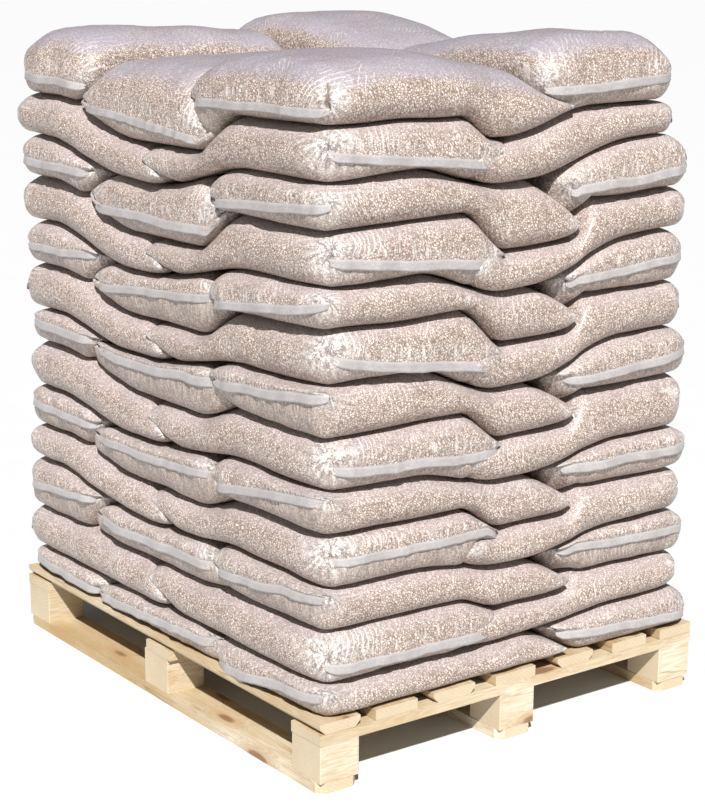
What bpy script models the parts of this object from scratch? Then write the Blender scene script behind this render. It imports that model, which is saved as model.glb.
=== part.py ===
"""A wooden block pallet, 1200 mm by 1000 mm, loaded with thirteen layers of wood pellet sacks.

The frame: the origin is under the middle of the pallet, on the floor. +X runs along the
pallet's 1200 mm side, +Y along its 1000 mm side and +Z up. All sizes are in metres.

Each layer holds five sacks: three across and two lengthwise, and the next layer is turned
half a turn. A layer is one solid, with the gaps between its sacks cut into its faces.
"""

import math

import bmesh
import bpy

CLEARANCE = 0.0003

# The pallet
PALLET_LENGTH = 1.200
PALLET_WIDTH = 1.000
BOARD_THICKNESS = 0.022
BLOCK_HEIGHT = 0.078
BLOCK_LENGTH = 0.096
BLOCK_WIDTH = 0.092
STRINGER_WIDTH = 0.097
BOTTOM_BOARD_WIDTH = 0.095
# The middle of each deck board across the pallet, and the board's width
DECK_BOARDS = (
    (-0.4525, 0.095),
    (-0.3165, 0.103),
    (-0.1710, 0.106),
    (-0.0095, 0.107),
    (0.1560, 0.100),
    (0.3130, 0.100),
    (0.4525, 0.095),
)
# Deck boards sawn from the outside of the log, whose lower edges are rounded
WANEY_DECK_BOARDS = (1, 3, 5)
WANE_WIDTH = 0.012
SAWN_EDGE = 0.0015
BOTTOM_CORNER_CUT = 0.016
BLOCK_ROWS = (-0.453, -0.003, 0.453)
BLOCK_COLUMNS = (-0.5515, -0.010, 0.5515)

# The load: the joints between the sacks in plan, in the layers that aren't turned
ACROSS_JOINTS = (-0.270, 0.218)
ROW_JOINT = 0.092
LENGTHWISE_JOINT = 0.0
# The height of the surface on top of each layer but the top one, at three corners of the stack
NEAR_CORNER = (0.210, 0.316, 0.401, 0.508, 0.590, 0.690, 0.790, 0.894, 0.970, 1.075, 1.163, 1.264)
LEFT_CORNER = (0.201, 0.300, 0.422, 0.499, 0.594, 0.700, 0.775, 0.874, 0.975, 1.078, 1.168, 1.262)
RIGHT_CORNER = (0.234, 0.313, 0.409, 0.500, 0.592, 0.709, 0.816, 0.910, 1.025, 1.110, 1.222, 1.286)
# How far each of these surfaces hangs below its corners along the long and the short faces
LONG_FACE_SAG = (0.000, 0.006, 0.029, 0.035, 0.032, 0.040, 0.042, 0.062, 0.056, 0.081, 0.060, 0.077)
SHORT_FACE_SAG = (0.011, 0.031, 0.030, 0.051, 0.041, 0.063, 0.066, 0.071, 0.064, 0.080, 0.051, 0.046)
# Where a hollow starts and is at its lowest, on both its sides, under a layer and a turned layer
LONG_HOLLOWS = ((-0.45, -0.14, 0.00, 0.34), (-0.44, -0.09, 0.14, 0.29))
SHORT_HOLLOWS = ((-0.27, -0.055, 0.02, 0.27), (-0.155, -0.045, 0.12, 0.175))
# How far the -X and +Y sides of each layer are from the middle of the pallet
LEFT_SIDE = (0.600, 0.600, 0.600, 0.600, 0.600, 0.584, 0.580, 0.600, 0.598, 0.600, 0.596, 0.600, 0.598)
BACK_SIDE = (0.500, 0.478, 0.486, 0.472, 0.480, 0.468, 0.468, 0.456, 0.448, 0.450, 0.440, 0.414, 0.394)
# The sacks of the top layer, three across and two lengthwise: the height of the crown, its
# place along the sack and how fast the crown falls away from there
TOP_CROWNS = (1.410, 1.362, 1.390, 1.441, 1.422)
TOP_PEAKS = (-0.280, -0.220, -0.290, -0.360, 0.470)
TOP_FALLS = (0.15, 0.25, 0.45, 0.47, 0.26)
CROWN_ACROSS = 0.017
# How much further over its neighbour the top of a sack's side is than its bottom
LEANS_ACROSS = (0.085, -0.085)
LEAN_LENGTHWISE = 0.085
LEANS_ROW = (-0.050, -0.050, -0.100)
LEAN_REACH = 0.140
# The share of a sack's height at which it is widest, and the rounding above and below that
RIM_SHARE = 0.45
RIM_HALF_HEIGHT = 0.006
UPPER_ROUND = 0.062
LOWER_ROUND = 0.034
TOP_ROUND = 0.085
# How far in from a layer's sides its surface has points, and the part that lies hidden inside
UPPER_INSETS = (0.000, 0.010, 0.030, 0.066)
TOP_INSETS = (0.000, 0.012, 0.038, 0.082)
LOWER_INSETS = (0.000, 0.010, 0.038)
CORE = (-0.495, 0.495, -0.405, 0.290)
# Half the space left between two layers near their faces
FACE_GAP = 0.0045
# How far the sacks bulge past the pallet, and how far in a face is beside a sack's corner
OVERHANG = 0.004
CORNER_INSET = 0.018
CORNER_REACH = 0.040
# The lines of a layer's grid on both sides of the middle. Those past the last line beside a
# joint move with the layer's sides
GRID_X = (0.000, 0.022, 0.100, 0.198, 0.218, 0.244, 0.270, 0.292, 0.360, 0.450, 0.570, 0.600)
GRID_Y = (0.000, 0.045, 0.070, 0.092, 0.114, 0.145, 0.175, 0.225, 0.350, 0.472, 0.500)
LAST_JOINT_LINES = (0.292, 0.225)

PALLET_HEIGHT = 3 * BOARD_THICKNESS + BLOCK_HEIGHT
WOOD_COLOUR = (0.78, 0.62, 0.40, 1.0)
SACK_COLOUR = (0.56, 0.44, 0.38, 1.0)


def clear_scene():
    for item in list(bpy.data.objects):
        bpy.data.objects.remove(item, do_unlink=True)


def make_material(name, colour, roughness):
    material = bpy.data.materials.new(name)
    material.use_nodes = True
    shader = material.node_tree.nodes["Principled BSDF"]
    shader.inputs["Base Color"].default_value = colour
    shader.inputs["Roughness"].default_value = roughness
    shader.inputs["Metallic"].default_value = 0.0
    return material


def add_object(name, shape, colour, roughness, location=(0.0, 0.0, 0.0)):
    """Turn a bmesh into an object with a material of its own."""
    mesh = bpy.data.meshes.new(name)
    shape.to_mesh(mesh)
    shape.free()
    mesh.materials.append(make_material(name, colour, roughness))
    item = bpy.data.objects.new(name, mesh)
    item.location = location
    bpy.context.collection.objects.link(item)
    return item


def edges_along(shape, axis, signs):
    """The edges that run along one axis, on the sides that signs names (0 is either side)."""
    found = []
    for edge in shape.edges:
        first, second = (vertex.co for vertex in edge.verts)
        run = [abs(first[i] - second[i]) > 1e-6 for i in range(3)]
        if run != [i == axis for i in range(3)]:
            continue
        middle = (first + second) / 2
        if all(i == axis or signs[i] == 0 or middle[i] * signs[i] > 0 for i in range(3)):
            found.append(edge)
    return found


def wooden_piece(name, size, location, cuts):
    """A sawn cuboid. Each cut is (axis of the edges, sides, width) and bevels those edges."""
    shape = bmesh.new()
    bmesh.ops.create_cube(shape, size=1.0)
    for vertex in shape.verts:
        vertex.co = [vertex.co[i] * size[i] for i in range(3)]
    for axis, signs, width in cuts:
        bmesh.ops.bevel(
            shape,
            geom=edges_along(shape, axis, signs),
            offset=width,
            segments=1,
            affect="EDGES",
        )
    return add_object(name, shape, WOOD_COLOUR, 0.75, location)


def build_pallet():
    bottom_z = BOARD_THICKNESS / 2
    block_z = BOARD_THICKNESS + BLOCK_HEIGHT / 2
    stringer_z = 1.5 * BOARD_THICKNESS + BLOCK_HEIGHT
    deck_z = 2.5 * BOARD_THICKNESS + BLOCK_HEIGHT
    for row, y in enumerate(BLOCK_ROWS, start=1):
        wooden_piece(
            f"bottom_board_{row}",
            (PALLET_LENGTH, BOTTOM_BOARD_WIDTH, BOARD_THICKNESS),
            (0.0, y, bottom_z),
            [(2, (0, 0, 0), BOTTOM_CORNER_CUT)],
        )
        for column, x in enumerate(BLOCK_COLUMNS, start=1):
            wooden_piece(
                f"block_{row}_{column}",
                (BLOCK_LENGTH, BLOCK_WIDTH, BLOCK_HEIGHT - 2 * CLEARANCE),
                (x, y, block_z),
                [(2, (0, 0, 0), SAWN_EDGE)],
            )
    for column, x in enumerate((-1, 0, 1), start=1):
        wooden_piece(
            f"stringer_board_{column}",
            (STRINGER_WIDTH, PALLET_WIDTH, BOARD_THICKNESS),
            (x * (PALLET_LENGTH - STRINGER_WIDTH) / 2, 0.0, stringer_z),
            [],
        )
    for number, (y, width) in enumerate(DECK_BOARDS, start=1):
        wane = WANE_WIDTH if number in WANEY_DECK_BOARDS else SAWN_EDGE
        wooden_piece(
            f"deck_board_{number}",
            (PALLET_LENGTH, width, BOARD_THICKNESS - CLEARANCE),
            (0.0, y, deck_z + CLEARANCE / 2),
            [(0, (0, 0, -1), wane)],
        )


def fade(value, start, end):
    """1 up to start, 0 from end on, and smooth between them."""
    share = min(max((end - value) / (end - start), 0.0), 1.0)
    return share * share * (3 - 2 * share)


def hollow(value, edges):
    """1 inside a hollow, 0 outside it."""
    start, floor_start, floor_end, end = edges
    return fade(-value, -floor_start, -start) * fade(value, floor_end, end)


def surface(level, x, y):
    """The surface on top of that many layers, which sags over the joints of the sacks."""
    if level == 0:
        return PALLET_HEIGHT
    along = x / PALLET_LENGTH + 0.5
    across = y / PALLET_WIDTH + 0.5
    near, left, right = (corner[level - 1] for corner in (NEAR_CORNER, LEFT_CORNER, RIGHT_CORNER))
    height = near + (left - near) * (1 - along) + (right - near) * across
    long_edges = LONG_HOLLOWS[level % 2 == 0]
    short_edges = SHORT_HOLLOWS[level % 2 == 0]
    to_back = fade(-y, -0.2, 0.2)
    to_right = fade(-x, -0.3, 0.3)
    long_sag = hollow(x, long_edges) * (1 - to_back) + hollow(-x, long_edges) * to_back
    short_sag = hollow(y, short_edges) * to_right + hollow(-y, short_edges) * (1 - to_right)
    long_sag *= LONG_FACE_SAG[level - 1]
    short_sag *= SHORT_FACE_SAG[level - 1]
    return height - (long_sag ** 4 + short_sag ** 4) ** 0.25


def sacks_of(level):
    """The five sacks of a layer: the sides x0, x1, y0, y1 of each in plan, and their leans."""
    x0, x1 = -PALLET_LENGTH / 2, PALLET_LENGTH / 2
    y0, y1 = -PALLET_WIDTH / 2, PALLET_WIDTH / 2
    first, second = ACROSS_JOINTS
    lean_first, lean_second = LEANS_ACROSS
    sacks = [
        ((x0, first, y0, ROW_JOINT), (0.0, lean_first, 0.0, LEANS_ROW[0])),
        ((first, second, y0, ROW_JOINT), (lean_first, lean_second, 0.0, LEANS_ROW[1])),
        ((second, x1, y0, ROW_JOINT), (lean_second, 0.0, 0.0, LEANS_ROW[2])),
        ((x0, LENGTHWISE_JOINT, ROW_JOINT, y1), (0.0, LEAN_LENGTHWISE, LEANS_ROW[0], 0.0)),
        ((LENGTHWISE_JOINT, x1, ROW_JOINT, y1), (LEAN_LENGTHWISE, 0.0, LEANS_ROW[2], 0.0)),
    ]
    if level % 2 == 0:
        sacks = [
            ((-box[1], -box[0], -box[3], -box[2]), (-leans[1], -leans[0], -leans[3], -leans[2]))
            for box, leans in sacks
        ]
    sides = stack_sides(level)
    placed = []
    for box, leans in sacks:
        box = tuple(side if abs(place) > 0.49 else place for place, side in zip(box, sides))
        placed.append((box, leans))
    return placed


def stack_sides(level):
    """Where a layer's four sides are."""
    return (-LEFT_SIDE[level - 1], PALLET_LENGTH / 2, -PALLET_WIDTH / 2, BACK_SIDE[level - 1])


def rounded(distance, radius):
    """How full a sack is near its rim: 0 at the rim and 1 past the radius."""
    share = 1 - min(max(distance, 0.0) / radius, 1.0)
    return math.sqrt(1 - share * share)


def grid_lines(positions):
    return sorted({-position for position in positions} | set(positions))


def spread(line, last_joint, outer, low, high):
    """A grid line's place between two sides: lines past the last joint keep their shares."""
    if abs(line) <= last_joint:
        return line
    share = (abs(line) - last_joint) / (outer - last_joint)
    side = high if line > 0 else low
    inner = math.copysign(last_joint, line)
    return inner + (side - inner) * share


def plan_place(column, row, sides):
    """The plan position of a pair of grid lines between four sides."""
    return (
        spread(column, LAST_JOINT_LINES[0], PALLET_LENGTH / 2, sides[0], sides[1]),
        spread(row, LAST_JOINT_LINES[1], PALLET_WIDTH / 2, sides[2], sides[3]),
    )


def sack_at(sacks, x, y):
    for number, (box, leans) in enumerate(sacks):
        if box[0] - 1e-6 <= x <= box[1] + 1e-6 and box[2] - 1e-6 <= y <= box[3] + 1e-6:
            return number, box, leans
    raise ValueError("no sack there")


def top_surface(number, box, x, y):
    """The crown of a sack of the top layer."""
    place, middle, half = (x, (box[0] + box[1]) / 2, (box[1] - box[0]) / 2)
    along = y - TOP_PEAKS[number]
    if number > 2:
        place, middle, half = (y, (box[2] + box[3]) / 2, (box[3] - box[2]) / 2)
        along = x - TOP_PEAKS[number]
    across = abs(place - middle) / half
    return TOP_CROWNS[number] - TOP_FALLS[number] * along ** 2 - CROWN_ACROSS * across ** 2


def heights_at(level, number, box, x, y):
    """What a layer lies on and what it reaches up to at one place."""
    low = surface(level - 1, x, y) + CLEARANCE / 2
    if level == 1:
        low += CLEARANCE / 2
    if level > len(NEAR_CORNER):
        return low, top_surface(number, box, x, y)
    return low, surface(level, x, y) - CLEARANCE / 2


def skin_point(level, sacks, sides, x, y, upper, inset):
    """A point of the skin of the sacks: above their rim or below it, inset from the faces."""
    number, box, leans = sack_at(sacks, x, y)
    on_top = level > len(NEAR_CORNER)
    radius = LOWER_ROUND
    if upper:
        radius = TOP_ROUND if on_top else UPPER_ROUND
    to_x = min(x - box[0], box[1] - x)
    to_y = min(y - box[2], box[3] - y)
    fullness = rounded(to_x, radius) * rounded(to_y, radius)
    share = RIM_SHARE + fullness * (1 - RIM_SHARE) if upper else RIM_SHARE * (1 - fullness)

    lean_share = (share - 0.5) * fade(inset, LOWER_INSETS[1], LOWER_INSETS[2])
    if on_top and upper:
        lean_share = share - 0.5
    shift_x = leans[0] * fade(x - box[0], 0.0, LEAN_REACH) + leans[1] * fade(box[1] - x, 0.0, LEAN_REACH)
    shift_y = leans[2] * fade(y - box[2], 0.0, LEAN_REACH) + leans[3] * fade(box[3] - y, 0.0, LEAN_REACH)
    moved_x = x + shift_x * lean_share
    moved_y = y + shift_y * lean_share

    low, high = heights_at(level, number, box, moved_x, moved_y)
    rim = low + min(high - low, 0.11) * RIM_SHARE
    if upper:
        gap = 0.0 if on_top else FACE_GAP
        rim += RIM_HALF_HEIGHT
        height = rim + (high - gap - rim) * fullness
    else:
        gap = 0.0 if level == 1 else FACE_GAP
        rim -= RIM_HALF_HEIGHT
        height = rim + (low + gap - rim) * fullness
    if inset < LOWER_INSETS[2]:
        moved_x += outward(x, sides[0], sides[1], to_y, box[2:], sides[2:], y)
        moved_y += outward(y, sides[2], sides[3], to_x, box[:2], sides[:2], x)
    return moved_x, moved_y, height


def outward(place, low_side, high_side, to_corner, box_ends, stack_ends, other):
    """How far a point near a face moves out, or in beside a corner of a sack."""
    to_low = place - low_side
    to_high = high_side - place
    near = min(to_low, to_high)
    if near > 0.035:
        return 0.0
    share = max(1 - to_corner / CORNER_REACH, 0.0)
    shift = (OVERHANG - (OVERHANG + CORNER_INSET) * share * share) * (1 - near / 0.035)
    return shift if to_high < to_low else -shift


def core_point(level, column, row, upper):
    """A point of the hidden surface where a layer and its neighbour press on each other."""
    x, y = plan_place(column, row, CORE)
    if upper:
        return x, y, surface(level, x, y) - CLEARANCE / 2
    clearance = CLEARANCE if level == 1 else CLEARANCE / 2
    return x, y, surface(level - 1, x, y) + clearance


def close_core(shape, ring, last_column, last_row):
    """Faces over a ring of points around the hidden part, strip by strip along Y."""
    for i in range(1, last_column - 1):
        shape.faces.new((ring[i, 0], ring[i + 1, 0], ring[i + 1, last_row]))
        shape.faces.new((ring[i, 0], ring[i + 1, last_row], ring[i, last_row]))
    middle = last_row // 2
    for side, inner in ((0, 1), (last_column, last_column - 1)):
        for j in range(last_row):
            corner = ring[inner, 0] if j < middle else ring[inner, last_row]
            shape.faces.new((ring[side, j], ring[side, j + 1], corner))
        shape.faces.new((ring[side, middle], ring[inner, 0], ring[inner, last_row]))


def build_layer(level):
    """One layer of five sacks: rings of points around it, from inside below to inside above."""
    sacks = sacks_of(level)
    sides = stack_sides(level)
    on_top = level > len(NEAR_CORNER)
    columns = grid_lines(GRID_X)
    rows = grid_lines(GRID_Y)
    last_column = len(columns) - 1
    last_row = len(rows) - 1
    around = [(i, 0) for i in range(last_column)]
    around += [(last_column, j) for j in range(last_row)]
    around += [(i, last_row) for i in range(last_column, 0, -1)]
    around += [(0, j) for j in range(last_row, 0, -1)]

    shape = bmesh.new()
    insets = [(inset, False) for inset in reversed(LOWER_INSETS)]
    insets += [(inset, True) for inset in (TOP_INSETS if on_top else UPPER_INSETS)]
    rings = [{at: shape.verts.new(core_point(level, columns[at[0]], rows[at[1]], False)) for at in around}]
    for inset, upper in insets:
        inset_sides = (sides[0] + inset, sides[1] - inset, sides[2] + inset, sides[3] - inset)
        ring = {}
        for i, j in around:
            x, y = plan_place(columns[i], rows[j], inset_sides)
            ring[i, j] = shape.verts.new(skin_point(level, sacks, sides, x, y, upper, inset))
        rings.append(ring)
    top_ring = {}
    for i, j in around:
        if on_top:
            x, y = plan_place(columns[i], rows[j], CORE)
            top_ring[i, j] = shape.verts.new(skin_point(level, sacks, sides, x, y, True, 1.0))
        else:
            top_ring[i, j] = shape.verts.new(core_point(level, columns[i], rows[j], True))
    rings.append(top_ring)

    for below, above in zip(rings, rings[1:]):
        for here, after in zip(around, around[1:] + around[:1]):
            shape.faces.new((below[here], below[after], above[after]))
            shape.faces.new((below[here], above[after], above[here]))
    close_core(shape, rings[0], last_column, last_row)
    if on_top:
        points = dict(top_ring)
        for i in range(1, last_column):
            for j in range(1, last_row):
                x, y = plan_place(columns[i], rows[j], CORE)
                points[i, j] = shape.verts.new(skin_point(level, sacks, sides, x, y, True, 1.0))
        for i in range(last_column):
            for j in range(last_row):
                a, b, c, d = (points[at] for at in ((i, j), (i + 1, j), (i + 1, j + 1), (i, j + 1)))
                shape.faces.new((a, b, c))
                shape.faces.new((a, c, d))
    else:
        close_core(shape, top_ring, last_column, last_row)
    bmesh.ops.recalc_face_normals(shape, faces=shape.faces)
    layer = add_object(f"sack_layer_{level:02d}", shape, SACK_COLOUR, 0.35)
    layer.data.shade_smooth()
    layer.data.set_sharp_from_angle(angle=math.radians(50))


def build():
    clear_scene()
    build_pallet()
    for level in range(1, len(NEAR_CORNER) + 2):
        build_layer(level)


build()
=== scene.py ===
"""A wooden pallet loaded with sacks of wood pellets: the looks of the CAD model.

Sixty-five sacks of clear film lie in thirteen layers on a block pallet of new pine. The
frame is the CAD's: metres, +Z up, +X along the pallet's long side, origin on the floor.
"""

import math

import bmesh
import bpy
import numpy as np
from mathutils import Matrix, Vector


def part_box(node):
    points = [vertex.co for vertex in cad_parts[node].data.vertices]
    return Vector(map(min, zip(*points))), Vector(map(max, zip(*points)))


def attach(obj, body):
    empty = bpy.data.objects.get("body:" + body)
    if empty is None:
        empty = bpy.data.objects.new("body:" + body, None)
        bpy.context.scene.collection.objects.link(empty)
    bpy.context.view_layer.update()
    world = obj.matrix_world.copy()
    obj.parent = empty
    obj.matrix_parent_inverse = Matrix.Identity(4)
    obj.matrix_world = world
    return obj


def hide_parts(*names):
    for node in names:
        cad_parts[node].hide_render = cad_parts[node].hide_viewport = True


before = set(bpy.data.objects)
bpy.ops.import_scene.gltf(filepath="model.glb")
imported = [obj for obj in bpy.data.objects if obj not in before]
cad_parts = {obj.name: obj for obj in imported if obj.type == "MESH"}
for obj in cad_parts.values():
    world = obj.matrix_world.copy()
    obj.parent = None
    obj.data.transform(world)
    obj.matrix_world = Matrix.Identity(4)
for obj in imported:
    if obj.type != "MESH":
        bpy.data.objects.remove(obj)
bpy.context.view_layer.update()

# The camera stands where the corners of the pallet's boards and blocks in the photograph put it:
# its place, and its azimuth, elevation and roll in degrees
CAMERA_PLACE = (3.295, -2.428, 1.541)
CAMERA_ANGLES = (53.45, 13.09, 0.45)
PHOTO_HEIGHT = 806
FOCAL_PIXELS = 1874.9
FILM_WIDTH = 36.0
SUN_WAY = (0.78, -0.57, 0.92)
FLOOR_SIZE = 600.0

HALF_LENGTH = 0.600
HALF_WIDTH = 0.500
LAYERS = 13

# The surface on top of each layer, from the deck up, at three corners of the stack
NEAR_CORNER = (0.1445, 0.210, 0.316, 0.401, 0.508, 0.590, 0.690, 0.790, 0.894, 0.970, 1.075, 1.163, 1.264)
LEFT_CORNER = (0.1445, 0.201, 0.300, 0.422, 0.499, 0.594, 0.700, 0.775, 0.874, 0.975, 1.078, 1.168, 1.262)
RIGHT_CORNER = (0.1445, 0.234, 0.313, 0.409, 0.500, 0.592, 0.709, 0.816, 0.910, 1.025, 1.110, 1.222, 1.286)
# How far each surface hangs below its corners at the middle of the long and short faces
LONG_SAG = (0.0, 0.0, 0.006, 0.029, 0.035, 0.032, 0.040, 0.042, 0.062, 0.056, 0.081, 0.060, 0.077)
SHORT_SAG = (0.0, 0.011, 0.031, 0.030, 0.051, 0.041, 0.063, 0.066, 0.071, 0.064, 0.080, 0.051, 0.046)
# Where the hollows of the odd and of the even surfaces begin, reach their floor, leave it and end,
# along the -Y face and along the +X face. The even ones lie under a layer whose three sacks are at
# the front, and have the steeper sides. The last is the one under the top layer, on the +X face.
ODD_HOLLOWS = ((-0.45, -0.14), (-0.04, 0.33)), ((-0.27, -0.055), (0.02, 0.27))
EVEN_HOLLOWS = ((-0.44, -0.09), (0.14, 0.29)), ((-0.155, -0.045), (0.12, 0.175))
TOP_SIDE_HOLLOW = ((-0.16, -0.08), (-0.05, 0.18))
# Where the -X and +Y sides of each layer are
LEFT_SIDE = (0.602, 0.610, 0.612, 0.602, 0.606, 0.582, 0.578, 0.604, 0.598, 0.608, 0.596, 0.610, 0.598)
BACK_SIDE = (0.500, 0.478, 0.488, 0.470, 0.482, 0.466, 0.470, 0.456, 0.446, 0.450, 0.440, 0.412, 0.392)

# The sacks of the top layer: the crown's height, where along the sack it is and how it falls off
TOP_CROWNS = (1.410, 1.362, 1.390, 1.441, 1.422)
TOP_PEAKS = (-0.280, -0.220, -0.290, -0.360, 0.470)
TOP_FALLS = (0.15, 0.25, 0.45, 0.47, 0.26)
# How high in its layer each seam begins and ends, read from the photograph: for the odd layers
# from the lowest up the three sacks that lie across and the one behind them at the right, and
# for the even layers the one whose end is beside the near corner
ACROSS_SEAMS = (
    ((0.65, 0.50), (0.55, 0.85), (0.65, 0.75), (0.75, 0.90), (0.50, 0.85), (0.50, 0.75), (0.45, 0.45)),
    ((0.45, 0.85), (0.55, 0.65), (0.65, 0.75), (0.90, 0.75), (0.45, 0.65), (0.30, 0.30), (0.30, 0.30)),
    ((0.25, 0.80), (0.50, 0.90), (0.45, 0.90), (0.65, 0.90), (0.35, 0.65), (0.40, 0.60), (0.80, 0.30)),
)
BEHIND_SEAMS = (
    (0.75, 0.40), (0.90, 0.60), (0.90, 0.60), (0.75, 0.50), (0.85, 0.50), (0.85, 0.40), (0.55, 0.45)
)
CORNER_SEAMS = ((0.40, 0.40), (0.60, 0.80), (0.50, 0.60), (0.50, 0.50), (0.50, 0.60), (0.55, 0.45))
SEAM_WOBBLE = 0.02
# Where on its half width a seam is held, and between which shares of the layer it stays
SEAM_GRIP = 0.80
SEAM_LOWEST = 0.20
SEAM_HIGHEST = 0.90
# The most height that such a share is taken of
SEAM_ROOM = 0.11
SEAM_THICKNESS = 0.0016
STRIP_LENGTH = 0.0190

SACK_GAP = 0.002
# How far from its outer end, inner end and sides a sack is full, in the layers and on top
RADII = (0.056, 0.070, 0.066)
TOP_RADII = (0.090, 0.080, 0.080)
UNDER_RADIUS = 0.034
POINT_STEP = 0.0125
TOP_POINT_STEP = 0.0095
# How far the outer end swells out
BELLY = 0.008
# How high a sack's widest line is away from its rims, and how far in from them its own share of
# the height and its lean reach
MIDDLE_RIM = 0.45
RIM_REACH = 0.12
LEAN_REACH = 0.14
# Unevenness by its place: how large it is, how far apart its bumps are, and its seed
UNEVEN = {
    "surface": (0.0025, 0.24, 100),
    "crown": (0.003, 0.20, 300),
    "seam": (0.003, 0.16, 500),
    "strip": (0.0012, 0.06, 700),
    "free_edge": (0.0012, 0.05, 900),
    "swell": (0.0035, 0.11, 1500),
    "crease": (0.0022, 0.030, 1700),
}
DEEPEST_FOLD = 0.010
PLEAT_WIDTH = 0.011
# The texture cells along a metre, one to a pellet
PELLET_CELLS = 240.0

NAIL_RADIUS = 0.0038
NAIL_ASIDE = 0.022
NAIL_PROUD = 0.0012
NAIL_SINK = 0.0006


def fade(value, start, end):
    """1 up to start, 0 from end on, and smooth between them."""
    share = np.clip((end - value) / (end - start), 0.0, 1.0)
    return share * share * (3 - 2 * share)


def hollow(value, edges):
    """1 inside the hollow that two slopes bound, 0 outside them."""
    (start, floor_start), (floor_end, end) = edges
    return fade(-value, -floor_start, -start) * fade(value, floor_end, end)


def ripple(x, y, z, scale, seed):
    """Smooth seeded unevenness between about -1 and 1, with bumps about scale apart."""
    draw = np.random.default_rng(seed)
    total = np.zeros_like(np.asarray(x, dtype=float) + np.asarray(y, dtype=float))
    for _ in range(7):
        way = draw.normal(size=3)
        way *= 2 * math.pi / (scale * np.linalg.norm(way)) * draw.uniform(0.6, 1.5)
        total = total + np.sin(way[0] * x + way[1] * y + way[2] * z + draw.uniform(0, 2 * math.pi))
    return total / 4.0


def uneven(place, number, x, y, z=0.0):
    """The unevenness of one place, drawn anew for each layer or sack."""
    size, scale, seed = UNEVEN[place]
    return size * ripple(x, y, z, scale, seed + number)


def surface_between(level, x, y):
    """The height of the surface that the layer below and the layer above press into."""
    if level == 0:
        return np.full_like(x, NEAR_CORNER[0])
    along = np.clip((x + HALF_LENGTH) / (2 * HALF_LENGTH), -0.05, 1.05)
    across = np.clip((y + HALF_WIDTH) / (2 * HALF_WIDTH), -0.05, 1.05)
    near, left, right = NEAR_CORNER[level], LEFT_CORNER[level], RIGHT_CORNER[level]
    back = left + right - near
    height = (near * along + left * (1 - along)) * (1 - across)
    height = height + (right * along + back * (1 - along)) * across
    front_hollow, side_hollow = ODD_HOLLOWS if level % 2 else EVEN_HOLLOWS
    if level == LAYERS - 1:
        side_hollow = TOP_SIDE_HOLLOW
    to_back = fade(-y, -0.2, 0.2)
    long_sag = hollow(x, front_hollow) * (1 - to_back) + hollow(-x, front_hollow) * to_back
    to_right = fade(-x, -0.3, 0.3)
    short_sag = hollow(y, side_hollow) * to_right + hollow(-y, side_hollow) * (1 - to_right)
    long_sag = LONG_SAG[level] * long_sag
    short_sag = SHORT_SAG[level] * short_sag
    sag = (long_sag ** 4 + short_sag ** 4) ** 0.25
    return height - sag + uneven("surface", level, x, y)


def top_of_stack(sack, x, y):
    """The crown of a sack of the top layer, falling off from its peak to its ends and sides."""
    across_axis = 0 if sack["kind"] == "across" else 1
    place = (x, y)
    across = (place[across_axis] - sack["middle"][across_axis]) / sack["half"][across_axis]
    along = place[1 - across_axis] - sack["peak"]
    height = sack["crown"] - sack["fall"] * along ** 2 - 0.017 * np.abs(across) ** 2.2
    return height + uneven("crown", sack["number"], x, y)


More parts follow.
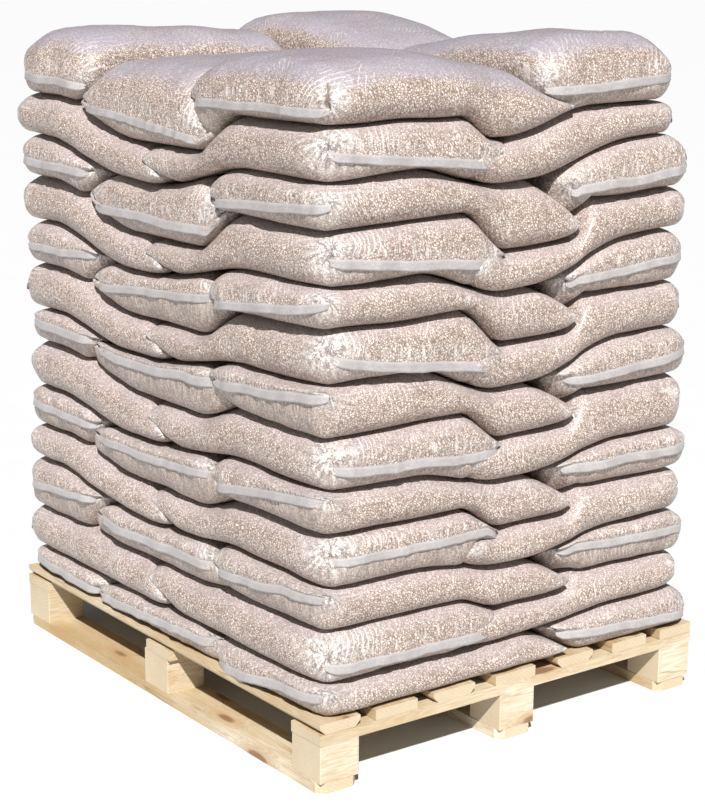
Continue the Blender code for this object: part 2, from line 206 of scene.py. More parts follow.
def layer_plan(layer):
    """The five sacks of a layer.

    Each has its plan box and the way from its outer end, with the seam, to its inner end. The
    plus side is to the left of that way. For the plus and the minus side: ears is how far the
    seam sticks out, lean how much further out the side's top is than its bottom, where the
    sack laps over its neighbour, rim how high the side's widest line is in the layer, seam how
    high the seam's corner is, creases how deep the fold beside that corner is, and crumple and
    drawn how far the loose film and the curved creases reach from it.
    inner_lean and inner_rim are the lean and the rim of the inner end.
    """
    plan = [
        {"kind": "across", "box": (-0.600, -0.262, -0.500, 0.120), "way": (0, 1), "inner_rim": 0.40,
         "ears": (-0.016, -0.012), "lean": (0.0, 0.085), "rim": (0.44, 0.58), "seam": (0.52, 0.54),
         "crumple": (0.030, 0.026)},
        {"kind": "across", "box": (-0.264, 0.232, -0.500, 0.098), "way": (0, 1), "inner_rim": 0.36,
         "ears": (0.012, -0.004), "lean": (-0.085, -0.085), "rim": (0.28, 0.36), "seam": (0.40, 0.36),
         "crumple": (0.034, 0.040)},
        {"kind": "across", "box": (0.222, 0.600, -0.500, 0.105), "way": (0, 1), "inner_rim": 0.28,
         "ears": (0.014, -0.006), "lean": (0.085, 0.0), "rim": (0.64, 0.42), "seam": (0.50, 0.48),
         "crumple": (0.030, 0.038)},
        {"kind": "along", "box": (-0.600, 0.014, 0.066, 0.500), "way": (1, 0), "inner_rim": 0.66,
         "ears": (-0.026, 0.012), "lean": (0.0, 0.12), "rim": (0.44, 0.42), "seam": (0.50, 0.50),
         "crumple": (0.054, 0.034)},
        {"kind": "along", "box": (-0.006, 0.600, 0.102, 0.500), "way": (-1, 0), "inner_rim": 0.32,
         "ears": (-0.014, -0.006), "lean": (0.10, 0.0), "rim": (0.52, 0.44), "seam": (0.60, 0.48),
         "crumple": (0.034, 0.030)},
    ]
    inner_leans = [-0.12, -0.07, -0.10, 0.11, -0.085]
    order = (layer - 1) // 2
    if layer % 2:
        for sack, seams in zip(plan, ACROSS_SEAMS):
            sack["seam"] = seams[order]
        plan[4]["seam"] = BEHIND_SEAMS[order]
    else:
        plan[3]["seam"] = CORNER_SEAMS[order]
    if layer == LAYERS:
        plan[0]["box"] = (-0.600, -0.298, -0.500, 0.110)
        plan[1].update(box=(-0.300, 0.184, -0.500, 0.098), ears=(0.006, -0.004))
        plan[2].update(box=(0.146, 0.600, -0.500, 0.092), ears=(0.014, -0.016))
        plan[4].update(box=(-0.006, 0.600, 0.040, 0.500), ears=(-0.004, -0.006))
        inner_leans[2] = -0.13
    draw = np.random.default_rng(layer)
    for number, (sack, inner_lean) in enumerate(zip(plan, inner_leans)):
        x0, x1, y0, y1 = sack["box"]
        if layer % 2 == 0:
            x0, x1, y0, y1 = -x1, -x0, -y1, -y0
            sack["way"] = (-sack["way"][0], -sack["way"][1])
        if x0 <= -HALF_LENGTH:
            x0 = -LEFT_SIDE[layer - 1]
        if y1 >= HALF_WIDTH:
            y1 = BACK_SIDE[layer - 1]
        if x1 >= HALF_LENGTH:
            x1 = 0.601 + draw.uniform(-0.006, 0.004)
        if y0 <= -HALF_WIDTH:
            y0 = -0.500 + draw.uniform(-0.004, 0.006)
        sack["box"] = (x0, x1, y0, y1)
        sack["middle"] = ((x0 + x1) / 2, (y0 + y1) / 2)
        sack["half"] = ((x1 - x0) / 2, (y1 - y0) / 2)
        sack["number"] = layer * 10 + number
        sack["inner_lean"] = inner_lean
        sack["seam"] = tuple(share + draw.uniform(-SEAM_WOBBLE, SEAM_WOBBLE) for share in sack["seam"])
        sack["creases"] = draw.uniform(0.1, 0.5, size=2)
        sack["drawn"] = (0.17, 0.05) if number == 3 else (0.05, 0.07)
    if layer == LAYERS:
        plan[2]["creases"] = (0.3, 1.0)
        for sack, crown, peak, fall in zip(plan, TOP_CROWNS, TOP_PEAKS, TOP_FALLS):
            sack.update(crown=crown, peak=peak, fall=fall)
        plan[2]["inner_rim"] = 0.45
        plan[4]["rim"] = (0.56, 0.44)
    return plan


def rim_round(distance, radius, power):
    """How full a sack is at a distance from its rim: 0 at the rim, 1 past the radius."""
    share = 1 - np.clip(distance / radius, 0.0, 1.0)
    return (1 - share ** power) ** (1 / power)


def rim_steps(radius, count):
    """Distances from a rim, close together beside it."""
    turns = np.linspace(0, math.pi / 2, count + 1)
    return radius * (1 - np.cos(turns))


class SackForm:
    """The skin of one sack as rings of points, from the free edge of the seam at its outer end
    to its inner end. s is the distance from the outer end, t from the middle line."""

    def __init__(self, layer, sack):
        self.layer = layer
        self.sack = sack
        self.on_top = layer == LAYERS
        x0, x1, y0, y1 = sack["box"]
        self.way = sack["way"]
        self.cross = (-self.way[1], self.way[0])
        self.length = (x1 - x0) if self.way[0] else (y1 - y0)
        self.half = (y1 - y0) / 2 if self.way[0] else (x1 - x0) / 2
        self.start = [sack["middle"][i] - self.way[i] * self.length / 2 for i in (0, 1)]
        radii = TOP_RADII if self.on_top else RADII
        self.end_radius, self.inner_radius, self.side_radius = radii
        draw = np.random.default_rng(1000 + sack["number"])
        self.belly = BELLY + draw.uniform(-0.002, 0.002)
        self.strip_length = STRIP_LENGTH + draw.uniform(-0.002, 0.002)
        self.lay_out_points()
        self.lay_out_seam()

    def lay_out_points(self):
        """The places along and across the sack where its skin has points."""
        step = TOP_POINT_STEP if self.on_top else POINT_STEP
        body_length = self.length - self.end_radius - self.inner_radius
        body = np.linspace(self.end_radius, self.length - self.inner_radius, int(body_length / step))
        near_outer = rim_steps(self.end_radius, 14)[1:-1]
        near_inner = self.length - rim_steps(self.inner_radius, 7)[::-1][1:-1]
        self.s = np.concatenate([near_outer, body, near_inner])[:, None]
        rim = self.half - rim_steps(self.side_radius, 11)[:-1]
        reach = self.half - self.side_radius
        flat = np.linspace(reach, -reach, int(2 * reach / step))
        top = np.concatenate([rim, flat, -rim[::-1]])
        self.t = np.concatenate([top, top[-2:0:-1]])[None, :]
        self.upper = np.concatenate([np.ones(len(top)), -np.ones(len(top) - 2)])[None, :]

    def place(self, s, t):
        """The plan position of a distance along and a distance across."""
        return tuple(self.start[i] + self.way[i] * s + self.cross[i] * t for i in (0, 1))

    def low(self, x, y):
        """The sack's underside where it is full."""
        return surface_between(self.layer - 1, x, y) + SACK_GAP / 2

    def high(self, x, y):
        """The sack's top where it is full."""
        if self.on_top:
            return top_of_stack(self.sack, x, y)
        return surface_between(self.layer, x, y) - SACK_GAP / 2

    def room(self, x, y):
        """The height that the shares of the seam and of the widest line are taken of."""
        return np.minimum(self.high(x, y) - self.low(x, y), SEAM_ROOM)

    def lay_out_seam(self):
        """The sealed seam is stiff, so it runs straight from one corner of the end to the other."""
        grip = np.array((self.half, -self.half)) * SEAM_GRIP
        x, y = self.place(0.0, grip)
        ends = self.low(x, y) + self.room(x, y) * np.array(self.sack["seam"])
        self.seam_middle = ends.mean()
        self.seam_slope = (ends[0] - ends[1]) / (grip[0] - grip[1])

    def seam_height(self, x, y, t):
        """The height of the seam, which stays within the layer."""
        low = self.low(x, y)
        room = self.room(x, y)
        wave = uneven("seam", self.sack["number"], x, y)
        line = self.seam_middle + self.seam_slope * t + wave
        return np.clip(line, low + SEAM_LOWEST * room, low + SEAM_HIGHEST * room)

    def ears(self, t):
        """How far the seam's corners stick out beside the sack, or stay inside it."""
        plus, minus = self.sack["ears"]
        share = t / self.half
        return plus * np.clip(share, 0, 1) ** 2 - minus * np.clip(-share, 0, 1) ** 2

    def tuck_in(self, s, t):
        """The corners of the outer end are drawn in, as on a pillow."""
        return 0.020 * np.abs(t / self.half) ** 6 * np.exp(-s / 0.05)

    def unevenness(self, x, y, height):
        """The wide swellings and the narrow creases of the skin."""
        swell = uneven("swell", self.sack["number"], x, y, height)
        crease = uneven("crease", self.sack["number"], x, y, height * 0.4)
        return swell, crease

    def strip(self):
        """The flat strip beyond the seam, hanging down over the lower half of the end."""
        share = np.linspace(1, 0, 6)[:, None]
        t = self.t + self.ears(self.t)
        to_corner = self.half - np.abs(self.t)
        x, y = self.place(self.tuck_in(0.0, self.t) + 0.006 * np.exp(-to_corner / 0.012), t)
        height = self.seam_height(x, y, t)
        swell, crease = self.unevenness(x, y, height)
        height = height - self.strip_length * share * (1 - 0.40 * np.exp(-to_corner / 0.010))
        height = height + uneven("free_edge", self.sack["number"], x, y) * share
        out = 0.0010 + 0.0022 * share + (swell + crease) * (1 - np.exp(-to_corner / 0.020))
        out = out + uneven("strip", self.sack["number"], x, y) * share
        out = out + self.upper * SEAM_THICKNESS / 2
        return x - self.way[0] * out, y - self.way[1] * out, height

    def round_off(self, distance, radius, power, under_power):
        """How full the upper and the lower half of the sack are at a distance from a rim."""
        above = rim_round(distance, radius, power)
        below = rim_round(distance, UNDER_RADIUS, under_power)
        return np.where(self.upper > 0, above, below)

    def body(self):
        """The skin from the seam to the inner end, and the masks of its material."""
        s, t, upper, half = self.s, self.t, self.upper, self.half
        plus_lean, minus_lean = self.sack["lean"]
        plus_rim, minus_rim = self.sack["rim"]
        to_inner = self.length - s
        to_side = half - np.abs(t)
        outer = self.round_off(s, self.end_radius, 2.4, 2.2)
        side = self.round_off(to_side, self.side_radius, 2.1, 2.0)
        fullness = outer * side * rim_round(to_inner, self.inner_radius, 2.1)

        # the sides and the inner end lean, and their widest lines lie at heights of their own
        seat = MIDDLE_RIM + (self.sack["inner_rim"] - MIDDLE_RIM) * fade(to_inner, 0.0, LEAN_REACH)
        seat = seat + (plus_rim - MIDDLE_RIM) * fade(half - t, 0.0, RIM_REACH)
        seat = seat + (minus_rim - MIDDLE_RIM) * fade(half + t, 0.0, RIM_REACH)
        level = seat + upper * fullness * np.where(upper > 0, 1 - seat, seat)
        t_moved = t + plus_lean * fade(half - t, 0.0, LEAN_REACH) * (level - 0.5)
        t_moved = t_moved - minus_lean * fade(half + t, 0.0, LEAN_REACH) * (level - 0.5)
        t_moved = t_moved + self.ears(t) * np.exp(-s / 0.03)
        s_moved = s + self.sack["inner_lean"] * fade(to_inner, 0.0, LEAN_REACH) * (level - 0.5)
        s_moved = s_moved + self.tuck_in(s, t)

        # the skin stands between the surfaces below and above, and starts at the seam
        x, y = self.place(s_moved, t_moved)
        low, high = self.low(x, y), self.high(x, y)
        rim_height = low + self.room(x, y) * seat
        at_seam = fade(s, 0.0, 0.07)
        rim_height = rim_height * (1 - at_seam) + self.seam_height(x, y, t_moved) * at_seam
        height = rim_height + upper * fullness * np.where(upper > 0, high - rim_height, rim_height - low)
        height = height + upper * SEAM_THICKNESS / 2 * (1 - fullness)

        # it swells and creases outward, more on the sides that lean on no neighbour, and has a
        # fold in each corner of the outer end
        swell, crease = self.unevenness(x, y, height)
        crease = crease * (np.exp(-s / 0.07) + 0.25) / 1.25
        free = np.where(t > 0, plus_lean == 0, minus_lean == 0) * fade(-s, -0.05, 0.0)
        outward = (swell + crease + 0.003 * free) * (1 - side ** 3)
        from_corner = np.sqrt(s ** 2 + to_side ** 2)
        tucked = np.where(t > 0, *self.sack["creases"]) * np.where(upper > 0, DEEPEST_FOLD, 0.003)
        tucked = tucked * np.exp(-((s - to_side) / 0.0045) ** 2) * np.exp(-(from_corner / 0.045) ** 2)
        t_moved = t_moved + np.sign(t) * (outward - tucked)
        push = (swell + crease) * np.exp(-s / 0.04) * side - tucked
        swelling = self.belly * (1 - np.abs(2 * outer - 1) ** 2.4) * side
        s_moved = s_moved - push - swelling * np.where(upper > 0, 0.7, 0.15)
        if self.on_top:
            height = height + np.where(upper > 0, crease * fullness, 0.0)
        x, y = self.place(s_moved, t_moved)
        return x, y, height, self.masks(height - rim_height, side, tucked)

    def masks(self, rise, side, tucked):
        """Where the film is loose, folded, gathered or drawn in; rise is how far above the seam."""
        s, t, upper = self.s, self.t, self.upper
        to_inner = self.length - s
        to_side = self.half - np.abs(t)
        reach = np.where(t > 0, *self.sack["crumple"])
        drawn = np.where(t > 0, *self.sack["drawn"])
        above = rise - 0.35 * reach
        distance = np.sqrt(s ** 2 + to_side ** 2 + above ** 2)
        inner_distance = np.sqrt(to_inner ** 2 + to_side ** 2 + rise ** 2)
        loose = np.exp(-(distance / reach) ** 2.2) + np.exp(-(inner_distance / 0.020) ** 2)
        above_seam = np.exp(-s / 0.035 - ((rise - 0.016) / 0.016) ** 2)
        return {
            "loose": np.clip(1.2 * loose, 0, 1),
            "fan": np.arctan2(above, s - to_side) * 15.0,
            "crease": tucked / DEEPEST_FOLD,
            "tuck": np.exp(-s / 0.03) * np.exp(-np.abs(rise) / 0.018),
            "above_seam": above_seam * np.where(upper > 0, 1.0, 0.0),
            "pleat": t * 2 * math.pi / PLEAT_WIDTH,
            "drawn": np.exp(-s / 0.06 - (to_side / drawn) ** 2) * fade(-rise, -0.03, 0.0),
            "under": np.where(upper < 0, 1.0, 0.0) * np.exp(-s / 0.02) * side,
        }


def make_sack(name, layer, sack, materials):
    """One closed mesh of rings: first the strip beyond the seam, then the skin of the sack."""
    form = SackForm(layer, sack)
    strip = form.strip()
    x, y, height, masks = form.body()
    strip_rings, ring_size = strip[2].shape
    rings = strip_rings + len(height)
    axes = [np.concatenate([ahead + 0 * strip[2], skin]) for ahead, skin in zip(strip, (x, y, height))]
    points = np.stack(axes, axis=2)

    corners = np.arange(rings * ring_size).reshape(rings, ring_size)
    onward = np.roll(corners, -1, axis=1)
    quads = np.stack([corners[:-1], onward[:-1], onward[1:], corners[1:]], axis=2).reshape(-1, 4)
    faces = quads.tolist()
    faces.append(corners[0][::-1].tolist())
    faces.append(corners[-1].tolist())
    mesh = bpy.data.meshes.new(name)
    mesh.from_pydata(points.reshape(-1, 3).tolist(), [], faces)
    for material in materials:
        mesh.materials.append(material)
    slots = np.zeros(len(faces), dtype=np.int32)
    slots[: (strip_rings - 1) * ring_size] = 1
    slots[len(faces) - 2] = 1
    mesh.polygons.foreach_set("material_index", slots)
    masks["from_seam"] = np.zeros_like(height)
    for mask_name, values in masks.items():
        start = np.zeros((strip_rings, ring_size)) + values[0] * (mask_name in ("fan", "pleat"))
        if mask_name == "from_seam":
            start += np.linspace(1, 0, strip_rings)[:, None]
        mask = mesh.attributes.new(mask_name, "FLOAT", "POINT")
        values = np.concatenate([start, values + 0 * height])
        mask.data.foreach_set("value", values.astype(np.float32).ravel())
    mesh.shade_smooth()
    shape = bmesh.new()
    shape.from_mesh(mesh)
    bmesh.ops.recalc_face_normals(shape, faces=shape.faces)
    shape.to_mesh(mesh)
    shape.free()
    item = bpy.data.objects.new(name, mesh)
    bpy.context.collection.objects.link(item)
    return item


class Channel:
    """A socket with arithmetic: each operator adds the Math node that it stands for."""

    def __init__(self, nodes, socket):
        self.nodes = nodes
        self.socket = socket

    def _math(self, operation, *values):
        return self.nodes.make("ShaderNodeMath", {"operation": operation}, dict(enumerate(values)))

    def __add__(self, other):
        return self._math("ADD", self, other)

    __radd__ = __add__

    def __mul__(self, other):
        return self._math("MULTIPLY", self, other)

    __rmul__ = __mul__

    def __sub__(self, other):
        return self._math("SUBTRACT", self, other)

    def __rsub__(self, other):
        return self._math("SUBTRACT", other, self)

    def __pow__(self, other):
        return self._math("POWER", self, other)

    def size(self):
        return self._math("ABSOLUTE", self)

    def wave(self):
        return self._math("SINE", self)

    def clamp(self):
        return self.nodes.make("ShaderNodeClamp", {}, {"Value": self})

    def between(self, low, high):
        """0 up to low, 1 from high on, smooth between."""
        settings = {"interpolation_type": "SMOOTHSTEP"}
        return self.nodes.make("ShaderNodeMapRange", settings, {"Value": self, 1: low, 2: high})


class Nodes:
    """The nodes of one material."""

    def __init__(self, name):
        self.material = bpy.data.materials.new(name)
        self.material.use_nodes = True
        self.tree = self.material.node_tree
        self.shader = self.tree.nodes["Principled BSDF"]

    def make(self, kind, settings, values, output=0):
        """A node of a kind: its settings are set first, then its sockets' values or links."""
        node = self.tree.nodes.new(kind)
        for key, value in settings.items():
            if key == "stops":
                ramp = node.color_ramp
                while len(ramp.elements) < len(value):
                    ramp.elements.new(0.5)
                for element, (position, colour) in zip(ramp.elements, value):
                    element.position = position
                    element.color = colour
            else:
                setattr(node, key, value)
        for key, value in values.items():
            self.feed(node.inputs[key], value)
        return Channel(self, node.outputs[output])

    def feed(self, socket, value):
        """Links a socket to a channel, or sets its value."""
        if isinstance(value, Channel):
            self.tree.links.new(value.socket, socket)
        else:
            socket.default_value = value

    def set(self, **values):
        """Feeds the shader's own sockets."""
        for key, value in values.items():
            self.feed(self.shader.inputs[key.replace("_", " ")], value)

    def mix(self, factor, first, second, blend="MIX"):
        """Two colours or vectors mixed by a factor."""
        node = self.tree.nodes.new("ShaderNodeMix")
        node.data_type = "RGBA"
        node.blend_type = blend
        self.feed(node.inputs[0], factor)
        self.feed(node.inputs[6], first)
        self.feed(node.inputs[7], second)
        return Channel(self, node.outputs[2])

    def place(self, scale=(1, 1, 1), shift=(0, 0, 0)):
        """Object coordinates, in metres, scaled and shifted."""
        where = self.make("ShaderNodeTexCoord", {}, {}, "Object")
        return self.make("ShaderNodeMapping", {}, {"Vector": where, "Location": shift, "Scale": scale})

    def lengthwise(self, rise, turn):
        """Object coordinates pressed together along one slanting way, so that cells lie that way."""
        where = self.make("ShaderNodeTexCoord", {}, {}, "Object")
        angles = (0.0, -math.radians(rise), math.radians(turn))
        values = {"Vector": where, "Rotation": angles, "Scale": (2.3, 1.0, 1.0)}
        return self.make("ShaderNodeMapping", {"vector_type": "TEXTURE"}, values)

    def part(self, name, value):
        """One number of a colour or of a vector."""
        kind, socket = ("XYZ", "Vector") if name in "XYZ" else ("Color", "Color")
        return self.make(f"ShaderNodeSeparate{kind}", {}, {socket: value}, name)

    def attribute(self, name):
        """A mask that make_sack stored on the mesh."""
        return self.make("ShaderNodeAttribute", {"attribute_name": name}, {}, "Fac")

    def noise(self, where, scale, detail=3.0, roughness=0.55):
        """Soft clouds between 0 and 1."""
        values = {"Vector": where, "Scale": scale, "Detail": detail, "Roughness": roughness}
        return self.make("ShaderNodeTexNoise", {}, values, "Fac")

    def cells(self, where, scale, output="Color", feature="F1"):
        """Cells, each with a colour of its own, or the distance to their middle or their edge."""
        values = {"Vector": where, "Scale": scale}
        return self.make("ShaderNodeTexVoronoi", {"feature": feature}, values, output)

    def bump(self, height, strength, distance):
        """The shader's normal over a relief; distance is its depth in metres."""
        values = {"Height": height, "Strength": strength, "Distance": distance}
        return self.make("ShaderNodeBump", {}, values)


def rgb(red, green, blue):
    """A colour, solid."""
    return (red, green, blue, 1.0)


def sack_film():
    """Clear film drawn tight over wood pellets."""
    n = Nodes("pellets_in_clear_film")
    where = n.place()
    # each pellet is a long cell, and patches of them lie in three ways
    sway = n.make("ShaderNodeTexNoise", {}, {"Vector": where, "Scale": 30.0, "Detail": 1.0}, "Color")
    swayed = {0: sway, 1: (0.03, 0.03, 0.03), 2: where}
    swayed = n.make("ShaderNodeVectorMath", {"operation": "MULTIPLY_ADD"}, swayed)
    patch = n.part("Red", n.cells(swayed, 30.0))
    lying = n.mix(patch.between(0.33, 0.34), n.lengthwise(20.0, 45.0), n.lengthwise(35.0, -45.0))
    lying = n.mix(patch.between(0.66, 0.67), lying, n.lengthwise(-50.0, 40.0))
    each = n.cells(lying, PELLET_CELLS)
    shade = n.part("Red", each)
    edge = n.cells(lying, PELLET_CELLS, "Distance", "DISTANCE_TO_EDGE")
    # painted shade in the gaps between the pellets, and a painted highlight along the middle of each
    painted_gap_shade = 1 - edge.between(0.03, 0.22)
    painted_pellet_highlight = edge.between(0.18, 0.42) * shade.between(0.15, 0.75)
    cloud = n.noise(where, 9.0, 3.0)
    # their colour, with painted shade in the gaps between them and a painted highlight along each
    value = 0.400 + shade.between(0.0, 0.60) * 0.22 + (cloud - 0.5) * 0.13 + painted_pellet_highlight * 0.13 - painted_gap_shade * 0.22
    ramp = [
        (0.08, rgb(0.170, 0.120, 0.100)),
        (0.34, rgb(0.400, 0.320, 0.280)),
        (0.58, rgb(0.610, 0.520, 0.465)),
        (0.95, rgb(0.900, 0.835, 0.770)),
    ]
    colour = n.make("ShaderNodeValToRGB", {"stops": ramp}, {"Fac": value})
    colour = n.mix(n.part("Green", each).between(0.55, 0.95) * 0.30, colour, rgb(0.52, 0.365, 0.300))
    colour = n.mix(n.part("Blue", each).between(0.70, 0.98) * 0.30, colour, rgb(0.86, 0.800, 0.740))
    # the painted shade of the gaps, laid over the tints
    colour = n.mix(painted_gap_shade * 0.74, colour, rgb(0.150, 0.108, 0.090))

    # painted warm shade on what looks down, the gathered film under the seam darkened with painted shade,
    # and a painted bluish skylight reflection on the tops
    facing = n.part("Z", n.make("ShaderNodeNewGeometry", {}, {}, "Normal"))
    height = n.part("Z", where)
    colour = n.mix((0 - facing).between(-0.10, 0.80) * 0.50, colour, rgb(0.74, 0.65, 0.57), "MULTIPLY")
    # the gathers of the film under the seam, with painted shade darkening them
    gathers = n.noise(n.place((1.0, 1.0, 0.10)), 190.0, 2.0, 0.5)
    gathers_in_painted_shade = n.mix(gathers.between(0.42, 0.60), rgb(0.250, 0.200, 0.170), rgb(0.480, 0.410, 0.360))
    colour = n.mix(n.attribute("under") * 0.60, colour, gathers_in_painted_shade)
    # a painted reflection of a bluish skylight on the tops of the top layer
    painted_sky_reflection = facing.between(0.35, 0.85) * height.between(1.27, 1.34)
    painted_sky_reflection = painted_sky_reflection * (0.45 + n.noise(where, 11.0, 3.0) * 0.75)
    colour = n.mix(painted_sky_reflection.clamp() * 0.82, colour, rgb(0.350, 0.338, 0.415))
    # a painted lavender sheen, reflected skylight, on what faces up in the lower layers
    rim = facing.between(0.25, 0.90) * (1 - height.between(1.26, 1.33)) * 0.36
    colour = n.mix(rim, colour, rgb(0.52, 0.47, 0.50))

    # painted highlights on the folds of loose film: a fan at the corners, lines across the sides, arcs and
    # dashes
    loose = n.attribute("loose")
    bend = n.noise(where, 22.0, 3.0) * 6.0
    fan = (n.attribute("fan") + bend).wave()
    pleat = (n.attribute("pleat") + n.noise(where, 16.0, 3.0) * 9.0).wave()
    ridges = (1 - (n.noise(n.place((1.0, 1.0, 0.60)), 46.0, 4.0, 0.7) - 0.5).size() * 15.0).clamp()
    dashes = n.noise(n.place((1.0, 1.0, 0.16)), 125.0, 2.0, 0.5).between(0.56, 0.66)
    fold_line = n.part("X", where) + n.part("Y", where) + height * 0.30
    fold_line = fold_line * 500.0 + n.noise(where, 7.0, 2.0) * 34.0
    folds = fold_line.wave().between(0.72, 0.98) * n.noise(where, 9.5, 2.0).between(0.55, 0.64)
    folds = folds * n.noise(where, 60.0, 2.0).between(0.38, 0.58)
    arcs = n.attribute("pleat") * 0.85 + height * 200.0 + n.noise(where, 13.0, 2.0) * 16.0
    arcs = arcs.wave().between(0.50, 0.90) * n.noise(where, 26.0, 2.0).between(0.40, 0.54)
    arcs = arcs * n.attribute("drawn")
    painted_fold_highlights = arcs * 1.20 + loose * (0.26 + ridges * 0.62 + fan.between(0.45, 0.95) * 0.42)
    painted_fold_highlights = painted_fold_highlights + n.attribute("above_seam") * dashes * 0.70 + folds * 0.60
    painted_fold_highlights = (painted_fold_highlights + n.attribute("tuck") * pleat.between(0.80, 0.98) * 0.30).clamp()
    # the painted highlights of the folds, in a pale film colour
    colour = n.mix(painted_fold_highlights * 0.85, colour, rgb(0.80, 0.775, 0.765))
    # and painted shade in the furrows, pleats and creases between them
    furrow = (1 - (n.noise(where, 40.0, 4.0, 0.7) - 0.5).size() * 22.0).clamp()
    painted_crease_shade = loose * ((0 - fan).between(0.70, 1.0) * 0.55 + furrow * 0.95)
    painted_crease_shade = painted_crease_shade + n.attribute("tuck") * (0 - pleat).between(0.75, 1.0) * 0.35
    painted_crease_shade = painted_crease_shade + n.attribute("crease").between(0.15, 0.60)
    colour = n.mix(painted_crease_shade.clamp(), colour, rgb(0.20, 0.165, 0.15))

    relief = edge * 1.6 + n.noise(where, 34.0, 5.0, 0.65) * 0.6 + folds * 0.5 + arcs * 0.7
    relief = relief + loose * (ridges * 1.2 + fan * 0.4 - furrow * 1.2)
    relief = relief + n.attribute("tuck") * pleat * 0.5
    n.set(Base_Color=colour, Roughness=(0.44 - painted_fold_highlights * 0.12), Normal=n.bump(relief, 0.50, 0.0016))
    n.set(Metallic=0.0, Coat_Weight=0.22, Coat_Roughness=0.24)
    return n.material


def seam_film():
    """The two sealed thicknesses of film at a sack's end."""
    n = Nodes("sealed_film_strip")
    where = n.place()
    streak_and_glint = n.noise(n.place(scale=(0.35, 0.35, 3.0)), 60.0, 3.0)
    tone = n.noise(where, 22.0, 3.0)
    colour = n.mix(tone.between(0.3, 0.7), rgb(0.360, 0.350, 0.355), rgb(0.440, 0.435, 0.450))
    # painted glints along the streaks of the strip; the streaks also give the strip its relief
    colour = n.mix(streak_and_glint.between(0.55, 0.75) * 0.35, colour, rgb(0.52, 0.515, 0.53))
    speckle = n.cells(n.place(scale=(1.0, 0.5, 1.0)), PELLET_CELLS, "Distance").between(0.2, 0.7)
    colour = n.mix(speckle * 0.40, colour, rgb(0.32, 0.265, 0.235))
    from_seam = n.attribute("from_seam")
    colour = n.mix((1 - from_seam.between(0.10, 0.32)) * 0.35, colour, rgb(0.56, 0.55, 0.56))
    colour = n.mix(from_seam.between(0.80, 0.95) * 0.40, colour, rgb(0.27, 0.235, 0.22))
    n.set(Base_Color=colour, Roughness=0.34 + tone * 0.15, Normal=n.bump(streak_and_glint + tone, 0.4, 0.0012))
    n.set(Metallic=0.0, Coat_Weight=0.3, Coat_Roughness=0.2)
    return n.material


def new_pine(name, lengthwise, seed):
    """Rough-sawn new pine, with its grain along one axis and its rings on the two ends."""
    n = Nodes(name)
    shift = (seed * 0.37, seed * 0.71, seed * 0.53)
    squeeze = [1.0, 1.0, 1.0]
    squeeze[lengthwise] = 0.06
    along = n.place(tuple(squeeze), shift)
    squeeze[lengthwise] = 0.35
    loosely = n.place(tuple(squeeze), shift)
    # knots, and the grain that bends round them
    spot = n.cells(loosely, 12.5, "Distance")
    knot = 1 - spot.between(0.12, 0.19)
    halo = 1 - spot.between(0.14, 0.42)
    flow = n.noise(along, 46.0, 3.0, 0.6) + halo * 0.30
    rings = (flow * 60.0).wave() * 0.5 + 0.5
    fibre = n.noise(along, 420.0, 3.0, 0.7)
    patch = n.noise(loosely, 7.0, 3.0)
    colour = n.mix(patch.between(0.30, 0.62), rgb(0.46, 0.335, 0.175), rgb(0.62, 0.545, 0.405))
    colour = n.mix(patch.between(0.54, 0.70) * 0.8, colour, rgb(0.74, 0.690, 0.570))
    colour = n.mix(rings * 0.42, colour, rgb(0.43, 0.295, 0.150))
    colour = n.mix(fibre.between(0.48, 0.75) * 0.50, colour, rgb(0.35, 0.240, 0.130))
    stain = n.noise(loosely, 16.0, 4.0, 0.7).between(0.60, 0.72)
    colour = n.mix(stain * 0.45, colour, rgb(0.34, 0.205, 0.100))
    crack = (1 - (n.noise(along, 24.0, 2.0) - 0.5).size() * 70.0).clamp()
    crack = crack * n.noise(loosely, 13.0, 2.0).between(0.52, 0.60)
    colour = n.mix(crack * 0.55, colour, rgb(0.22, 0.130, 0.065))
    colour = n.mix(halo * 0.50, colour, rgb(0.44, 0.260, 0.115))
    colour = n.mix(knot * 0.80, colour, rgb(0.20, 0.095, 0.040))

    # year rings on the sawn ends
    across = [n.part(letter, along) for letter in "XYZ"]
    del across[lengthwise]
    from_pith = ((across[0] - 0.6 * shift[0]) ** 2 + (across[1] + 0.05) ** 2) ** 0.5
    end_rings = (from_pith * 900.0 + n.noise(loosely, 20.0, 2.0) * 9.0).wave() * 0.5 + 0.5
    sawn = n.mix(end_rings * 0.16 + patch * 0.80, rgb(0.48, 0.370, 0.225), rgb(0.66, 0.580, 0.440))
    sawn = n.mix(n.noise(n.place(), 160.0, 3.0).between(0.5, 0.8) * 0.35, sawn, rgb(0.42, 0.310, 0.190))
    normal = n.make("ShaderNodeNewGeometry", {}, {}, "Normal")
    on_end = n.part("XYZ"[lengthwise], normal).size().between(0.80, 0.90)
    colour = n.mix(on_end, colour, sawn)
    height = rings * 0.3 + fibre * 0.8 - knot * 0.6 - crack * 0.8
    n.set(Base_Color=colour, Roughness=0.62 + fibre * 0.2, Normal=n.bump(height, 0.5, 0.0012))
    n.set(Metallic=0.0)
    return n.material


def nail_steel():
    """The galvanised heads of the nails."""
    n = Nodes("nail_steel")
    spots = n.noise(n.place(), 500.0, 3.0)
    colour = n.mix(spots.between(0.35, 0.65), rgb(0.30, 0.29, 0.28), rgb(0.50, 0.49, 0.47))
    n.set(Base_Color=colour, Roughness=0.35 + spots * 0.25, Normal=n.bump(spots, 0.4, 0.0004))
    n.set(Metallic=0.9)
    return n.material


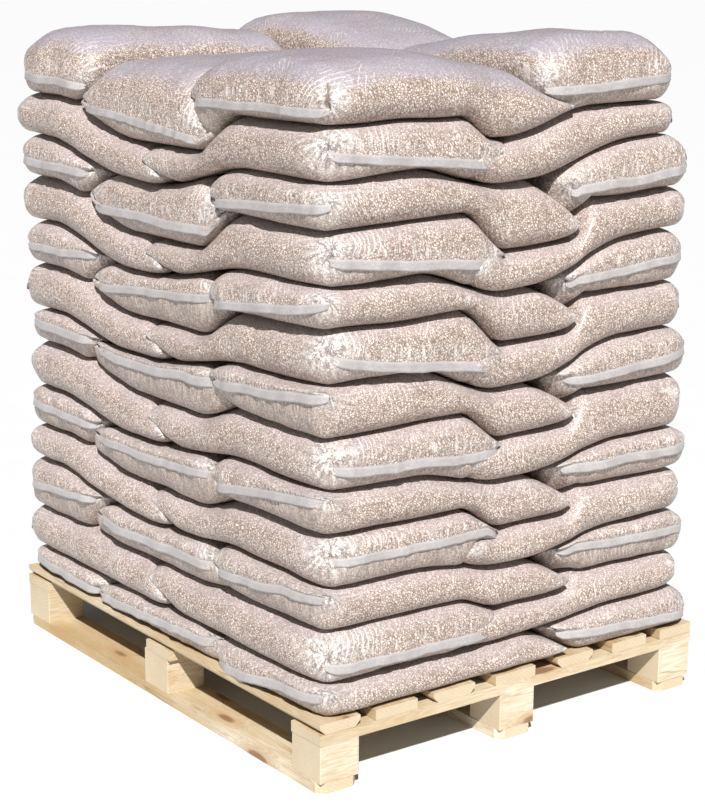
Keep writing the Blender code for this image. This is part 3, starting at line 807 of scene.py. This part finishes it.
def floor_paint():
    """A plain pale floor."""
    n = Nodes("pale_floor")
    grain = n.noise(n.place(), 6.0, 3.0)
    n.set(Base_Color=n.mix(grain, rgb(0.695, 0.710, 0.735), rgb(0.715, 0.730, 0.755)), Roughness=0.9)
    n.set(Metallic=0.0)
    return n.material


def dress_pallet():
    """New materials on the pallet's CAD nodes."""
    ways = {"bottom": 0, "deck": 0, "stringer": 1, "block": 1}
    woods = {}
    for name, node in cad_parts.items():
        kind = name.split("_")[0]
        if kind not in ways:
            continue
        seed = sum(ord(letter) * (i + 3) for i, letter in enumerate(name)) % 23
        key = (ways[kind], seed % 6)
        if key not in woods:
            woods[key] = new_pine(f"new_pine_{key[0]}_{key[1]}", key[0], seed + 1)
        node.data.materials.clear()
        node.data.materials.append(woods[key])


def drive_nails():
    """The heads of the nails, where the deck boards and the bottom boards cross what they lie on."""
    shape = bmesh.new()
    stringers = [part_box(f"stringer_board_{row}") for row in (1, 2, 3)]
    boards = [(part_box(f"deck_board_{row}"), 1) for row in range(1, 8)]
    boards += [(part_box(f"bottom_board_{row}"), -1) for row in (1, 2, 3)]
    for (low, high), up in boards:
        face = high[2] if up > 0 else low[2] + NAIL_SINK
        for under_low, under_high in stringers:
            middle = (under_low[0] + under_high[0]) / 2
            quarter = (high[1] - low[1]) / 4
            for aside, on_width in ((-NAIL_ASIDE, -1), (NAIL_ASIDE, 1)):
                place = (middle + aside, (low[1] + high[1]) / 2 + on_width * quarter, face)
                bmesh.ops.create_cone(
                    shape, cap_ends=True, segments=14, radius1=NAIL_RADIUS, radius2=NAIL_RADIUS,
                    depth=NAIL_PROUD, matrix=Matrix.Translation(place))
    mesh = bpy.data.meshes.new("pallet_nails")
    shape.to_mesh(mesh)
    shape.free()
    mesh.materials.append(nail_steel())
    nails = bpy.data.objects.new("pallet_nails", mesh)
    bpy.context.collection.objects.link(nails)
    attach(nails, "root")


def lay_sacks():
    """The sixty-five sacks, in the place of the CAD's thirteen layers."""
    film = (sack_film(), seam_film())
    for layer in range(1, LAYERS + 1):
        for number, sack in enumerate(layer_plan(layer), start=1):
            name = f"sack_{layer:02d}_{number}"
            item = make_sack(name, layer, sack, film)
            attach(item, "root")
            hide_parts(f"sack_layer_{layer:02d}")


def build_studio():
    """A pale floor, soft light from all round and one stronger light from the right."""
    bpy.ops.mesh.primitive_plane_add(size=FLOOR_SIZE, location=(0.0, 0.0, 0.0))
    floor = bpy.context.object
    floor.name = "floor"
    floor.data.materials.append(floor_paint())

    world = bpy.data.worlds.new("studio")
    bpy.context.scene.world = world
    world.use_nodes = True
    backdrop = world.node_tree.nodes["Background"]
    backdrop.inputs["Color"].default_value = rgb(0.93, 0.96, 1.0)
    backdrop.inputs["Strength"].default_value = 0.135

    sun = bpy.data.lights.new("key", "SUN")
    sun.energy = 6.0
    sun.angle = math.radians(1.2)
    sun.color = (1.0, 0.970, 0.935)
    key = bpy.data.objects.new("key", sun)
    key.rotation_euler = Vector(SUN_WAY).to_track_quat("Z", "Y").to_euler()
    bpy.context.collection.objects.link(key)


def set_camera():
    """The photograph's camera."""
    azimuth, elevation, roll = (math.radians(angle) for angle in CAMERA_ANGLES)
    back = Vector((
        math.sin(azimuth) * math.cos(elevation),
        -math.cos(azimuth) * math.cos(elevation),
        math.sin(elevation),
    ))
    right = Vector((math.cos(azimuth), math.sin(azimuth), 0.0))
    up = back.cross(right)
    level_right = right * math.cos(roll) + up * math.sin(roll)
    level_up = up * math.cos(roll) - right * math.sin(roll)
    lens = bpy.data.cameras.new("photograph")
    lens.sensor_width = FILM_WIDTH
    lens.lens = FOCAL_PIXELS * FILM_WIDTH / PHOTO_HEIGHT
    camera = bpy.data.objects.new("photograph", lens)
    turn = Matrix((level_right, level_up, back)).transposed()
    camera.matrix_world = Matrix.Translation(CAMERA_PLACE) @ turn.to_4x4()
    bpy.context.collection.objects.link(camera)
    bpy.context.scene.camera = camera


bpy.context.scene.view_settings.view_transform = "Standard"
dress_pallet()
drive_nails()
lay_sacks()
build_studio()
set_camera()
